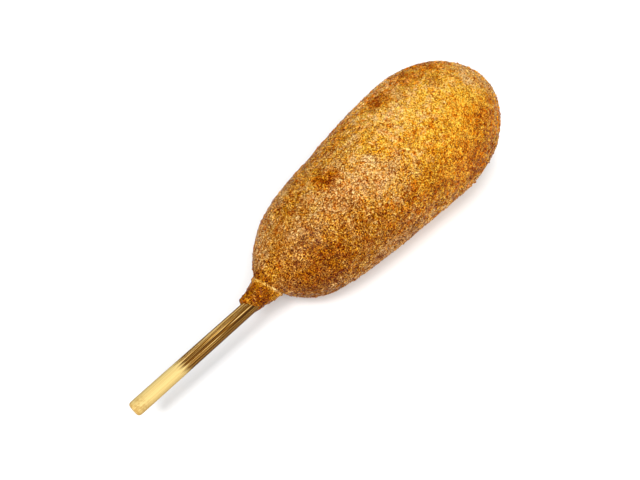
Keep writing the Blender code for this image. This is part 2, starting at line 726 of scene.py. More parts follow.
@dataclass(frozen=True)
class CrustFinish:
    """Fried cornmeal crust: gold to red-brown, pale on its ridges."""

    roughness: float = 0.68
    gloss: float = 0.02
    oil: float = 1.0
    oil_roughness: float = 0.30
    oil_index: float = 1.085
    rust: Color = (1.0, 0.70, 0.40, 1.0)
    wrinkle_width: float = 0.54
    wrinkle_twist: float = 0.6
    ridge_edge: Pair = (0.14, 0.0)
    crack_edge: Pair = (0.13, 0.0)
    ridge_lift: float = 0.64
    # Colour of the cracks: partly the crust's own darker red-brown, partly painted shade in the crevices.
    crack_tint_and_shade: Color = (0.22, 0.09, 0.02, 1.0)
    wrinkle_bump: float = 0.10 * MM
    speck_bump: float = 0.06 * MM
    grit_bump: float = 0.03 * MM
    gold: Ramp = ramp(
        (0.00, 84, 24, 0), (0.20, 124, 52, 0), (0.40, 168, 92, 0),
        (0.60, 206, 130, 4), (0.80, 238, 164, 14), (1.00, 255, 208, 80))
    tan: Ramp = ramp(
        (0.00, 94, 40, 6), (0.20, 130, 70, 14), (0.40, 168, 106, 32),
        (0.60, 206, 143, 60), (0.80, 236, 178, 100), (1.00, 255, 218, 152))
    blotch: Mottle = Mottle(7.0, 2.0, 1.0, 0.55)
    spot: Mottle = Mottle(2.2, 1.0, 2.0, 0.6)
    streak: Mottle = Mottle(1.0, 1.0, 8.0, 0.6)
    pallor: Mottle = Mottle(3.0, 4.0, 9.0, 0.65, (0.46, 0.62))
    redness: Mottle = Mottle(3.2, 4.0, 12.0, 0.65, (0.46, 0.62))
    bright: Mottle = Mottle(2.4, 3.0, 23.0, 0.65, (0.50, 0.62))
    ember: Mottle = Mottle(1.4, 2.0, 41.0, 0.6, (0.45, 0.60))
    burnt: Mottle = Mottle(1.8, 0.0, 21.0, 0.5, (0.68, 0.76))
    fleck: Mottle = Mottle(2.4, 3.0, 31.0, 0.6, (0.50, 0.58))
    cluster: Mottle = Mottle(2.8, 3.0, 27.0, 0.6, (0.43, 0.59))
    speck: Mottle = Mottle(0.38, 0.0, 7.0, 0.5, (0.36, 0.64))
    grit_speck: Mottle = Mottle(0.30, 0.0, 7.0, 0.5, (0.3, 0.7))
    patches: tuple[Patch, ...] = (
        Patch(62, 67, 5.5, -0.38, -0.9, 0.9),
        Patch(29, 86, 5.0, -0.32, -0.6, 1.0),
        Patch(10, 75, 3.5, -0.10, 0.0, 0.8),
        Patch(12, 88, 3.5, -0.04, 0.0, 0.5),
        Patch(22, 120, 5.0, -0.06, 0.0, 0.3),
        Patch(36, 64, 5.0, -0.06, 0.0, 0.3),
        Patch(70, 58, 7.0, -0.10, 0.2, 0.6),
        Patch(76, 69, 7.0, -0.10, -0.1, 0.7),
        Patch(87, 76, 7.0, -0.14, 0.0, 0.6),
        Patch(8, 148, 11.0, -0.18, 0.0, 0.2),
        Patch(38, 160, 9.0, -0.06, 0.0, 0.4),
        # Painted sheen: these two rows make the lower right side, seen edge-on, paler.
        Patch(34, 200, 11.0, 0.11, 1.6),
        Patch(14, 190, 8.0, 0.0, 0.7),
        Patch(48, 171, 9.0, -0.05, 0.2, 0.2),
        Patch(64, 152, 9.0, -0.05, -0.9, 0.5),
        Patch(70, 167, 8.0, -0.08, -0.8, 0.5),
        Patch(78, 174, 7.0, -0.04, -0.4, 0.4),
        Patch(84, 140, 7.0, -0.05, -0.9, 0.6),
        Patch(42, 113, 13.0, 0.10, 0.7),
        Patch(46, 97, 6.0, 0.07, -0.8),
        Patch(26, 106, 9.0, 0.07, 1.0),
        Patch(58, 88, 9.0, 0.11, 0.3),
        Patch(72, 100, 9.0, 0.08),
        Patch(92, 110, 10.0, 0.01, 0.5),
        Patch(76, 136, 13.0, 0.02, -0.9, 0.2),
        # Painted sheen: these two rows make the left side by the collar, seen edge-on, lighter and paler.
        Patch(2, 44, 15.5, 0.30, 1.2),
        Patch(20, 38, 9.0, 0.08, 0.4),
        Patch(22, 78, 9.0, 0.07, 0.1),
        Patch(36, 107, 9.0, 0.13, 0.2),
        Patch(45, 73, 6.0, 0.07),
        Patch(53, 85, 6.0, 0.06, 0.1),
        Patch(3, 148, 15.0, -0.13, 0.0, 0.3),
        Patch(12, 168, 7.0, -0.06, 0.0, 0.2),
        # Painted sheen: these two rows make the lower right side paler.
        Patch(2, 195, 14.0, -0.16, 0.8),
        Patch(22, 200, 9.0, 0.06, 0.5),
        Patch(84, 70, 10.0, -0.15, -0.4, 0.4),
        Patch(64, 72, 7.0, -0.04, 0.0, 0.2),
        Patch(66, 178, 9.0, -0.03, 0.0, 0.3),
        Patch(76, 170, 10.0, -0.08, 0.0, 0.3),
        Patch(48, 148, 8.0, -0.01, -0.4, 0.1),
        Patch(28, 88, 6.0, 0.0, -0.3, 0.15),
        Patch(12, 98, 9.0, 0.01, 0.8),
        Patch(62, 121, 9.0, 0.07, -0.2),
        Patch(50, 120, 7.0, 0.08, -0.2),
        Patch(56, 156, 10.0, -0.02, -0.6, 0.1),
        Patch(84, 154, 12.0, -0.04, -0.6, 0.15),
        Patch(14, 138, 6.0, -0.07, 0.0, 0.1),
        Patch(98, 135, 6.0, -0.05),
        # Painted sheen: this row makes the lower right side paler.
        Patch(44, 186, 7.0, -0.06, 0.3),
        Patch(28, 118, 5.0, -0.06, 0.1),
        Patch(-1.5, 205, 4.6, 0.28, 0.0, -0.7, out=7.0),
        # Painted sheen: these three rows paint a pale band along the lower edge beside the collar, as the
        # white floor's reflection.
        Patch(2.5, 194, 2.8, 0.02, 1.6, -0.2, out=7.0),
        Patch(6.5, 200, 4.0, 0.03, 1.6, -0.2, out=10.0),
        Patch(12, 202, 5.0, 0.02, 1.2, -0.1, out=13.5),
        # Painted sheen: this row makes the left edge by the collar paler.
        Patch(3.5, 50, 5.0, 0.09, 0.9, out=8.0),
        Patch(3, 172, 5.0, 0.0, 0.4, out=7.0),
        Patch(-5.0, 150, 3.0, -0.12, 0.0, 0.2, out=4.0),
        Patch(77, 176, 8.0, 0.0, -0.8),
        Patch(31, 58, 6.0, 0.05, out=18.0),
        Patch(60, 57, 4.0, 0.06),
        Patch(11, 104, 7.0, 0.0, 0.5, -0.3, out=14.0),
        # Painted sheen: these two rows make the lower right side paler.
        Patch(12, 188, 7.0, 0.0, 0.5, -0.2, out=14.0),
        Patch(37, 196, 7.0, 0.02, 0.5, -0.3),
        Patch(54, 73, 7.0, 0.04, 0.0, -0.3),
        Patch(68, 98, 8.0, 0.02, 0.0, -0.4),
        # Painted sheen: this row makes the left side paler.
        Patch(20, 42, 7.0, 0.05, 0.5, -0.2, out=17.0),
        Patch(60, 148, 6.0, -0.06, -0.3),
        Patch(28, 148, 6.0, -0.05, 0.0, 0.1),
        # Painted shade: a dark band under the club beside the collar, where it nears the floor.
        Patch(4, 202, 4.0, -0.24, out=8.5),
    )

    def skin(self, axis: FoodAxis) -> Material:
        """Make the material of the crust's skin.

        Args:
            axis: where the patches are measured from.

        Returns:
            The finished material.
        """
        graph = FoodGraph("crust", axis)
        collar = graph.attribute("collar")
        rim = graph.attribute("rim")
        relief = graph.attribute("relief").at_most(1.5).at_least(-1.5)
        look = self.browning_and_painted_light(graph)
        look.add(collar, tone=-0.06, pale=-0.5, rust=0.5)
        # Painted highlight: the crease's raised rim is painted lighter and paler.
        look.add(rim, tone=0.46, pale=0.8, rust=-0.8)
        # Painted shade: the groove ahead of the rim is painted darker, and it is also redder.
        look.add(graph.attribute("groove"), tone=-0.24, rust=0.4)
        look.add(relief, tone=0.03, pale=0.20, rust=-0.25)
        # Where the crust is rugged its ridges are painted lighter and paler: partly their colour, partly
        # painted sheen on the sides seen edge-on.
        look.add(relief * graph.attribute("rugged"), tone=0.18, pale=0.30)
        finer = graph.scaled(graph.offset, 1.15 - 0.15 * graph.along.step(0.0, 70.0) + collar * 0.15)
        ridge = graph.veins(finer, self.wrinkle_width, 3.0, self.ridge_edge, self.wrinkle_twist)
        crack = graph.veins(finer, self.wrinkle_width, 15.0, self.crack_edge, self.wrinkle_twist)
        speck = graph.mottle(self.speck, finer)
        cluster = graph.mottle(self.cluster) - 0.5
        cluster = cluster * (graph.along.step(30.0, 62.0) * 0.62 + 0.18)
        base = BrowningAndPaintedLight(look.tone - 0.10, look.pale - 0.32, look.rust + 0.2)
        base.add(speck, tone=0.46, pale=0.2, rust=-0.4)
        bright = look.tone * 0.85 + speck * 0.15 + graph.along.step(50.0, 80.0) * 0.08 + self.ridge_lift
        cream = BrowningAndPaintedLight(bright, look.pale * 0.6 + 0.20, look.rust * 0.45)
        ridges = ridge * (cluster * 0.9 + 0.95)
        color = graph.blend(ridges, self.colored(graph, base), self.colored(graph, cream))
        shallow = 1.0 - graph.along.step(30.0, 80.0) * 0.22
        cracks = crack * shallow * (1.0 - rim * 0.6) * (0.95 - cluster * 0.5) * (1.0 - collar * 0.15)
        # The cracks are painted darker: partly their red-brown colour, partly painted shade in the crevices.
        color = graph.blend(cracks, color, graph.blend(1.0, color, self.crack_tint_and_shade, "MULTIPLY"))
        wrinkled = graph.bump(ridge - crack, self.wrinkle_bump)
        return self.dressed(graph, color, graph.bump(speck, self.speck_bump, wrinkled))

    def grit(self, axis: FoodAxis, sizes: GritSizes) -> Material:
        """Make the material of one kind of grit, which follows the browning and painted light under it.

        Args:
            axis: where the patches are measured from.
            sizes: how much lighter its grains are, and how much they differ.

        Returns:
            The finished material.
        """
        graph = FoodGraph(sizes.name, axis)
        look = self.browning_and_painted_light(graph)
        tint = graph.attribute("tint") - 0.5
        speck = graph.mottle(self.grit_speck)
        look.add(tint, tone=sizes.spread, pale=0.8)
        look.add(speck - 0.5, tone=0.12)
        look.tone = look.tone + sizes.lift
        return self.dressed(graph, self.colored(graph, look), graph.bump(speck, self.grit_bump))

    def colored(self, graph: ShaderGraph, look: BrowningAndPaintedLight) -> Socket:
        """Turn a browning, with its painted light and shade, into a colour.

        Args:
            graph: the material's node tree.
            look: the browning and painted light.

        Returns:
            The fried colour.
        """
        gold = graph.colored(self.gold, look.tone)
        color = graph.blend(look.pale.clamped(), gold, graph.colored(self.tan, look.tone))
        return graph.blend(look.rust.clamped(), color, graph.blend(1.0, color, self.rust, "MULTIPLY"))

    def dressed(self, graph: ShaderGraph, color: Socket, normal: Socket) -> Material:
        """Close a crust material.

        Args:
            graph: the material's node tree.
            color: its colour.
            normal: its relief.

        Returns:
            The finished material.
        """
        return graph.finish({
            "Base Color": color,
            "Roughness": self.roughness,
            "Specular IOR Level": self.gloss,
            "Coat Weight": self.oil,
            "Coat Roughness": self.oil_roughness,
            "Coat IOR": self.oil_index,
            "Normal": normal,
        })

    def browning_and_painted_light(self, graph: FoodGraph) -> BrowningAndPaintedLight:
        """Work out how the browning and the painted light and shade vary over millimetres.

        Args:
            graph: the material's node tree.

        Returns:
            The browning and painted light at each point.
        """
        look = BrowningAndPaintedLight(
            tone=graph.along.step(-10.0, 80.0) * 0.37 - 0.38,
            pale=graph.mottle(self.pallor) * 0.8 - 0.07,
            rust=graph.mottle(self.redness) * 0.75 - 0.11)
        self.mottled(graph, look)
        self.painted_shade_and_browning(graph, look)
        self.patched(graph, look)
        return look

    def mottled(self, graph: FoodGraph, look: BrowningAndPaintedLight) -> None:
        """Add the mottles that are strewn over all the crust.

        Args:
            graph: the material's node tree.
            look: the browning that they change.
        """
        look.add(graph.mottle(self.blotch), tone=0.40)
        look.add(graph.mottle(self.spot), tone=0.34)
        look.add(graph.mottle(self.streak), tone=0.18)
        look.add(graph.mottle(self.burnt), tone=-0.16, rust=1.2)
        bright = graph.mottle(self.bright)
        look.add(bright, tone=0.14, rust=-0.3)
        look.add(bright * graph.along.step(30.0, 80.0), tone=0.12)
        ember = graph.mottle(self.ember) - 0.5
        look.add(ember * graph.along.step(62.0, 30.0), tone=-0.04, pale=-0.25, rust=0.55)

    def painted_shade_and_browning(self, graph: FoodGraph, look: BrowningAndPaintedLight) -> None:
        """Add how the browning changes from end to end and from side to side, with painted light on the top
        and painted shade underneath.

        Args:
            graph: the material's node tree.
            look: the browning that this changes.
        """
        # Painted light: the top of the club is painted lighter.
        look.add(graph.up.step(12.0, 20.0), tone=0.08)
        # Painted shade: the underside of the club is painted darker.
        look.add(graph.up.step(8.0, 0.0), tone=-0.05)
        look.add(graph.along.step(50.0, 10.0), tone=0.01, pale=-0.08)
        look.add(graph.along.step(44.0, 58.0), tone=0.025)
        look.add(graph.side.step(-3.0, -16.0), tone=-0.065, rust=0.10)
        front = graph.side.step(-13.0, -18.0) * graph.along.step(60.0, 76.0)
        look.add(front, tone=-0.09, rust=0.25)
        far = graph.side.step(4.0, 15.0) * graph.along.step(36.0, 56.0)
        look.add(far, tone=-0.02, pale=0.35, rust=0.05)
        look.add(far * graph.mottle(self.fleck), tone=-0.22, pale=-0.7, rust=0.7)

    def patched(self, graph: FoodGraph, look: BrowningAndPaintedLight) -> None:
        """Add the patches, whose outlines noise makes uneven.

        Args:
            graph: the material's node tree.
            look: the browning that they change.
        """
        warp = graph.node("ShaderNodeTexNoise", None, {"Vector": graph.place, "Scale": 1.0 / 4.0})
        shift = graph.vector("SUBTRACT", warp.socket("Color"), (0.5, 0.5, 0.5)).socket()
        place = graph.vector("ADD", graph.place, graph.scaled(shift, 6.0)).socket()
        for patch in self.patches:
            centre = graph.axis.spot(patch.along * MM, patch.around, patch.out * MM) / MM
            gap = graph.vector("DISTANCE", place, centre).signal("Value")
            mask = gap.step(patch.size * 1.2, patch.size * 0.2)
            look.add(mask, patch.tone, patch.pale, patch.rust)


# The crust's shape.


@dataclass(frozen=True)
class LipSizes:
    """How unevenly the collar's lip ends on the stick, and how its mouth is sealed.

    The seal is open at the first and closed at the second of its two depths
    and of its two distances off the stick.
    """

    reach: float = 4.0 * MM
    rough: float = 0.25 * MM
    bulge: float = 0.35 * MM
    drip: Lobe = Lobe(3.6 * MM, 216.0, 15.0)
    notch: Lobe = Lobe(1.3 * MM, 172.0, 24.0)
    sealed: float = 0.29 * MM
    seal_depth: Pair = (6.0 * MM, 4.0 * MM)
    seal_off_stick: Pair = (1.0 * MM, 0.3 * MM)


@dataclass(frozen=True)
class RimSizes:
    """The thin fold of batter at the crease, the groove beside it and the cheek behind it. The fold carries a
    painted highlight and the groove a painted shade.
    """

    ahead: float = -0.2 * MM
    width: float = 0.45 * MM
    height: float = 0.50 * MM
    painted_highlight_share: float = 0.8
    groove: float = 0.40 * MM
    groove_ahead: float = 1.1 * MM
    groove_width: float = 0.6 * MM
    painted_groove_shade: float = 0.5 * MM
    cheek: Lobe = Lobe(1.1 * MM, 212.0, 26.0)
    cheek_behind: float = 2.2 * MM
    cheek_length: float = 2.4 * MM


@dataclass
class Crust:
    """The crust over the batter's solid.

    Each scale of its relief has a height and a width. The other pairs are the
    distances at which a share is 0 and at which it is 1.
    """

    axis: FoodAxis
    finish: CrustFinish = CrustFinish()
    lip: LipSizes = LipSizes()
    rim: RimSizes = RimSizes()
    levels: int = 2
    seed: float = 4.0
    swell: Pair = (0.25 * MM, 11.0 * MM)
    blister: Pair = (0.20 * MM, 3.6 * MM)
    pore: Pair = (0.10 * MM, 1.9 * MM)
    ridge: Pair = (0.26 * MM, 1.5 * MM)
    relief_unit: float = 0.15 * MM
    # Rugged lobes on the two sides seen edge-on and at the tip: the relief rises there, and its ridges carry
    # painted sheen.
    rugged_side: Lobe = Lobe(1.0, 192.0, 22.0)
    rugged_side_along: Pair = (4.0 * MM, 16.0 * MM)
    rugged_back: Lobe = Lobe(0.6, 58.0, 14.0)
    rugged_tip: float = 0.7
    rugged_tip_along: Pair = (97.0 * MM, 104.0 * MM)
    skin_off_stick: Pair = (0.35 * MM, 0.75 * MM)
    bed_off_stick: Pair = (0.35 * MM, 1.15 * MM)
    bed_off_table: Pair = (0.5 * MM, 1.5 * MM)
    collar_ahead: Pair = (0.4 * MM, -0.6 * MM)

    def build(self, solid: Object) -> Object:
        """Make the crust from the batter's solid.

        Args:
            solid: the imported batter, which isn't changed.

        Returns:
            The crust, ready to ride.
        """
        mesh = self.smooth_copy(solid)
        self.mark(mesh)
        self.dress_collar(mesh)
        return self.relief(self.finish.skin(self.axis)).run_on(mesh, "crust")

    def smooth_copy(self, solid: Object) -> Mesh:
        """Copy the solid's mesh for the crust.

        Args:
            solid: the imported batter, which isn't changed.

        Returns:
            The copy, welded, in quads and finely subdivided.
        """
        work = bmesh.new()
        work.from_mesh(solid.data)
        bmesh.ops.remove_doubles(work, verts=work.verts, dist=0.001 * MM)
        bend = math.radians(60)
        bmesh.ops.join_triangles(
            work, faces=work.faces, angle_face_threshold=bend, angle_shape_threshold=bend)
        mesh = bpy.data.meshes.new("crust_source")
        work.to_mesh(mesh)
        work.free()
        mesh.materials.clear()
        holder = link("crust_holder", mesh)
        finer = holder.modifiers.new("finer", "SUBSURF")
        finer.levels = self.levels
        finer.render_levels = self.levels
        return applied(holder)

    def mark(self, mesh: Mesh) -> None:
        """Store how much each point is outer skin, bed for grit, or one of the crust's parts, including the
        bands of painted highlight on the crease's rim and painted shade in its groove.

        Args:
            mesh: the crust's mesh, which gets the numbers.
        """
        points = points_of(mesh)
        club = self.axis.round_club(points)
        away = self.from_crease(points)
        ahead = away - self.rim.ahead
        rugged = self.rugged_side.over(club.around) * rise(club.along, *self.rugged_side_along)
        rugged = rugged + self.rugged_back.over(club.around)
        rugged = rugged + self.rugged_tip * rise(club.along, *self.rugged_tip_along)
        shares = {
            "skin": self.axis.off_stick(points, *self.skin_off_stick),
            "bed": rise(points[:, 2], *self.bed_off_table) * self.axis.off_stick(points, *self.bed_off_stick),
            "collar": rise(away, *self.collar_ahead),
            "rugged": np.minimum(rugged, 1.0),
            # The rim band takes a painted highlight and the groove band a painted shade.
            "rim": bell(ahead, self.rim.painted_highlight_share * self.rim.width),
            "groove": bell(ahead - self.rim.groove_ahead, self.rim.painted_groove_shade),
        }
        for name, values in shares.items():
            store(mesh, name, values)

    def from_crease(self, points: np.ndarray) -> np.ndarray:
        """Return how far points lie ahead of the slanting crease."""
        places = self.axis.round_club(points)
        return places.along - CREASE_SKEW * np.cos(places.around - CREASE_SIDE)

    def dress_collar(self, mesh: Mesh) -> None:
        """Seal the mouth on the stick, make the lip ragged and raise the crease's rim.

        Args:
            mesh: the crust's mesh, whose points are moved.
        """
        points = points_of(mesh)
        for shift in (self.seal, self.ragged_lip, self.crease_rim):
            points += shift(points)
        mesh.vertices.foreach_set("co", points.ravel())
        mesh.update()

    def seal(self, points: np.ndarray) -> np.ndarray:
        """Close the mouth on the stick.

        Args:
            points: where the crust's points are.

        Returns:
            How far each one is moved.
        """
        places = self.axis.round_stick(points)
        outside, inside = (self.axis.stick_radius + gap for gap in self.lip.seal_off_stick)
        near = rise(places.along, *(self.axis.lip + depth for depth in self.lip.seal_depth))
        share = np.clip((outside - places.radius) / (outside - inside), 0.0, 1.0)
        return -places.out * (near * share * self.lip.sealed)[:, None]

    def ragged_lip(self, points: np.ndarray) -> np.ndarray:
        """Let the lip run unevenly down the stick.

        Args:
            points: where the crust's points are.

        Returns:
            How far each one is moved.
        """
        places = self.axis.round_stick(points)
        near = rise(places.along, self.axis.lip + self.lip.reach, self.axis.lip + 0.4 * MM)
        turn = places.around
        waves = 0.5 * np.sin(5 * turn + 1.0) + 0.3 * np.sin(9 * turn + 2.2) + 0.3 * np.sin(14 * turn)
        shift = self.lip.rough * waves + self.lip.drip.over(turn) - self.lip.notch.over(turn)
        bulge = self.lip.bulge * near * rise(places.along, self.axis.lip, self.axis.lip + 1.0 * MM)
        bulge *= self.axis.off_stick(points, 0.0, 1.0 * MM)
        return -np.outer(near * shift, self.axis.stick_along) + places.out * bulge[:, None]

    def crease_rim(self, points: np.ndarray) -> np.ndarray:
        """Raise a thin rim where the collar meets the club.

        Args:
            points: where the crust's points are.

        Returns:
            How far each one is moved.
        """
        rim = self.rim
        places = self.axis.round_club(points)
        away = self.from_crease(points)
        ahead = away - rim.ahead
        height = rim.height * bell(ahead, rim.width)
        height = height - rim.groove * bell(ahead - rim.groove_ahead, rim.groove_width)
        cheek = bell(away + rim.cheek_behind, rim.cheek_length) * rise(away, 0.6 * MM, -0.4 * MM)
        height += cheek * rim.cheek.over(places.around)
        return places.out * (height * self.axis.off_stick(points, 0.5 * MM, 1.0 * MM))[:, None]

    def relief(self, material: Material) -> GeometryGraph:
        """Make the node tree that raises the crust's relief.

        Args:
            material: what the crust wears.

        Returns:
            The tree, to be run on the crust's mesh.
        """
        tree = GeometryGraph("crust relief")
        seed = tree.given("Seed", self.seed)
        place = tree.position()
        normal = tree.node("GeometryNodeInputNormal").socket()
        rough = self.wave(tree, place, "Blister", self.blister, seed + 1.0)
        rough = rough + self.ridges(tree, place, seed + 2.0)
        rough = rough + self.pores(tree, place, seed)
        rough = rough * (tree.attribute("rugged") * 0.8 + 1.0)
        height = rough + self.wave(tree, place, "Swell", self.swell, seed)
        moved = tree.vector("ADD", place, tree.scaled(normal, height * tree.attribute("skin"))).socket()
        split = tree.node("ShaderNodeSeparateXYZ", None, {0: moved})
        rested = tree.combined(split.signal("X"), split.signal("Y"), split.signal("Z").at_least(0.0))
        inputs = {"Geometry": tree.entry.socket("Geometry"), "Position": rested}
        shaped = tree.node("GeometryNodeSetPosition", None, inputs).socket()
        tree.close(tree.stored(shaped, "POINT", "relief", rough / self.relief_unit), material)
        return tree

    def wave(self, tree: GeometryGraph, place: Socket, name: str, sizes: Pair,
             seed: Signal) -> Signal:
        """Return one scale of soft relief, up and down from the surface."""
        height, width = tree.sized(name, sizes)
        return (tree.noise(place, width, 1.0, seed) - 0.5) * 2.0 * height

    def ridges(self, tree: GeometryGraph, place: Socket, seed: Signal) -> Signal:
        """Raise fine wandering ridges with rounded hollows between them.

        Args:
            tree: the relief's node tree.
            place: where the points are.
            seed: which of many patterns this is.

        Returns:
            Their height over the surface.
        """
        height, width = tree.sized("Ridge", self.ridge)
        gap = abs(tree.noise(place, width, 0.0, seed) - 0.5)
        return (0.5 - (gap * 6.0).at_most(1.0)) * height

    def pores(self, tree: GeometryGraph, place: Socket, seed: Signal) -> Signal:
        """Sink small round hollows.

        Args:
            tree: the relief's node tree.
            place: where the points are.
            seed: which of many patterns this is.

        Returns:
            Their height over the surface, which is below 0.
        """
        height, width = tree.sized("Pore", self.pore)
        inputs = {"Vector": place, "W": seed, "Scale": 1.0 / width}
        cell = tree.node("ShaderNodeTexVoronoi", {"voronoi_dimensions": "4D"}, inputs)
        return cell.signal("Distance").step(0.5, 0.1) * height * -1.0


# Grit.


@dataclass(frozen=True)
class GritSizes:
    """How one kind of grit is made and strewn: counts per square metre, sizes in metres."""

    name: str
    density: float
    small: float
    large: float
    flatness: float
    sink: float
    lift: float
    spread: float
    seed: int
    slim: float = 1.0
    bend: float = 0.0


class GritKind(Enum):
    """The kinds of grit in the crust."""

    MEAL = GritSizes(
        "meal_grains", density=0.66e6, small=0.18 * MM, large=0.40 * MM, flatness=0.75, sink=0.30,
        lift=0.06, spread=0.70, seed=11)
    CRUMB = GritSizes(
        "coarse_crumbs", density=0.08e6, small=0.40 * MM, large=0.75 * MM, flatness=0.6, sink=0.40,
        lift=0.0, spread=0.50, seed=12)
    CURL = GritSizes(
        "crust_curls", density=0.26e6, small=0.70 * MM, large=1.50 * MM, flatness=0.30, sink=0.12,
        lift=0.16, spread=0.50, seed=13, slim=0.24, bend=0.30)
    FLAKE = GritSizes(
        "crust_flakes", density=0.26e6, small=0.60 * MM, large=1.20 * MM, flatness=0.30, sink=0.12,
        lift=0.12, spread=0.50, seed=14, slim=0.30, bend=-0.22)


@dataclass
class Grit:
    """Cornmeal grains and crumbs stuck over the crust, tilted and stretched at random."""

    axis: FoodAxis
    kind: GritKind
    finish: CrustFinish = CrustFinish()
    tilt: float = 0.35
    least: Triple = (0.8, 0.55, 0.6)
    most: Triple = (1.3, 1.0, 1.0)

    def build(self, crust: Object) -> Object:
        """Strew this kind of grit over the finished crust.

        Args:
            crust: the crust piece, which isn't changed.

        Returns:
            One piece that holds all the grains.
        """
        sizes = self.kind.value
        return self.strewn(sizes, self.finish.grit(self.axis, sizes)).run_on(crust.data.copy(), sizes.name)

    def strewn(self, sizes: GritSizes, material: Material) -> GeometryGraph:
        """Make the node tree that strews the grains and turns each its own way.

        Args:
            sizes: how this kind is made and strewn.
            material: what the grains wear.

        Returns:
            The tree, to be run on the crust's mesh.
        """
        tree = GeometryGraph(sizes.name)
        seed = tree.given("Seed", sizes.seed)
        inputs = {
            "Mesh": tree.entry.socket("Geometry"),
            "Density": tree.given("Density", sizes.density) * tree.attribute("bed"),
            "Seed": seed,
        }
        points = tree.node("GeometryNodeDistributePointsOnFaces", {"distribute_method": "RANDOM"}, inputs)
        low = (-self.tilt, -self.tilt, 0.0)
        high = (self.tilt, self.tilt, 2.0 * math.pi)
        turn = tree.random_vector(low, high, seed + 1.0)
        turned = tree.node("FunctionNodeEulerToRotation", None, {0: turn})
        inputs = {"Rotation": points.socket("Rotation"), "Rotate By": turned.socket()}
        rotation = tree.node("FunctionNodeRotateRotation", {"rotation_space": "LOCAL"}, inputs)
        stretch = tree.random_vector(self.least, self.most, seed + 2.0)
        small = tree.given("Small", sizes.small)
        size = tree.random(small, tree.given("Large", sizes.large), seed + 3.0)
        inputs = {
            "Points": points.socket("Points"),
            "Instance": self.grain(tree, sizes),
            "Rotation": rotation.socket(),
            "Scale": tree.scaled(stretch, size),
        }
        placed = tree.node("GeometryNodeInstanceOnPoints", None, inputs).socket()
        tint = tree.random(0.0, 1.0, seed + 4.0)
        tree.close(tree.stored(placed, "INSTANCE", "tint", tint), material)
        return tree

    def grain(self, tree: GeometryGraph, sizes: GritSizes) -> Socket:
        """Make one knobbly grain or bent ridge of unit length, sunk below its skin.

        Args:
            tree: the grit's node tree.
            sizes: how this kind is made.

        Returns:
            The grain's geometry.
        """
        inputs = {"Translation": (0.0, 0.0, 0.5 * sizes.flatness - sizes.sink)}
        if sizes.bend:
            ball = tree.node("GeometryNodeMeshUVSphere", None, {"Radius": 0.5, "Segments": 6, "Rings": 5})
            inputs["Rotation"] = (0.0, math.pi / 2, 0.0)
            inputs["Scale"] = (sizes.flatness, sizes.slim, 1.0)
        else:
            ball = tree.node("GeometryNodeMeshIcoSphere", None, {"Radius": 0.5, "Subdivisions": 1})
            inputs["Scale"] = (1.0, 1.0, sizes.flatness)
        inputs["Geometry"] = ball.socket("Mesh")
        laid = tree.node("GeometryNodeTransform", None, inputs).socket()
        reach = tree.node("ShaderNodeSeparateXYZ", None, {0: tree.position()}).signal("X")
        bend = tree.combined(y=reach * reach * (4.0 * sizes.bend))
        return tree.node("GeometryNodeSetPosition", None, {"Geometry": laid, "Offset": bend}).socket()


# Stick.


@dataclass(frozen=True)
class WoodFinish:
    """Round wood: pale where dry, browned and streaked where fried, with painted shade that darkens and tans
    its lower side.
    """

    roughness: float = 0.6
    gloss: float = 0.1
    grain_bump: float = 0.12 * MM
    stretch: float = 0.006
    turn_width: float = 1.95
    turn_shift: float = 0.9
    pale: Color = from_srgb(214, 188, 120)
    # The tan serves the bare end, stains and dark grain, and also the painted shade on the stick's lower
    # side.
    tan: Color = from_srgb(178, 142, 78)
    brown: Ramp = ramp(
        (0.0, 54, 30, 2), (0.3, 114, 70, 8), (0.5, 152, 104, 28), (0.75, 190, 146, 72),
        (1.0, 244, 212, 140))
    broad: Mottle = Mottle(0.9, 1.0, 5.0)
    streak: Mottle = Mottle(0.30, 1.0, 6.0, 0.6)
    long_stain: Mottle = Mottle(0.5, 2.0, 12.0)
    fine_stain: Mottle = Mottle(0.7, 1.0, 13.0)

    def material(self) -> Material:
        """Make the wood's material, from the stick's own lengthwise measure.

        Returns:
            The finished material.
        """
        graph = ShaderGraph("stick wood")
        along = graph.attribute("along")
        around = graph.attribute("around")
        grain = graph.combined(along * self.stretch, around * self.turn_width + self.turn_shift)
        streak = graph.mottle(self.streak, grain)
        dark = graph.veins(grain, 0.36, 8.0, (0.14, 0.02))
        light = graph.veins(grain, 0.30, 9.0, (0.07, 0.0))
        # Painted shade: the stick's lower side is painted darker and tanner, and its light grain lines
        # fainter.
        painted_side_shade = around.step(0.75, -0.25)
        value = 0.22 + light * (0.85 - painted_side_shade * 0.6) - dark * 0.30 - painted_side_shade * 0.06
        value = value + (graph.mottle(self.broad, grain) - 0.5) * 0.2
        stain = graph.mottle(self.long_stain, grain) * graph.mottle(self.fine_stain) * 4.0
        worn = along.step(6.0, 0.5) * stain.step(0.8, 1.3) * 0.7
        tan = along.step(1.4, 0.2) * 0.4 + worn + dark * 0.30 + painted_side_shade * 0.55
        pale = graph.blend(tan.clamped(), self.pale, self.tan)
        fried = (along + (streak - 0.5) * 9.0).step(14.0, 17.0)
        return graph.finish({
            "Base Color": graph.blend(fried, pale, graph.colored(self.brown, value)),
            "Roughness": self.roughness,
            "Specular IOR Level": self.gloss,
            "Normal": graph.bump(streak, self.grain_bump),
        })


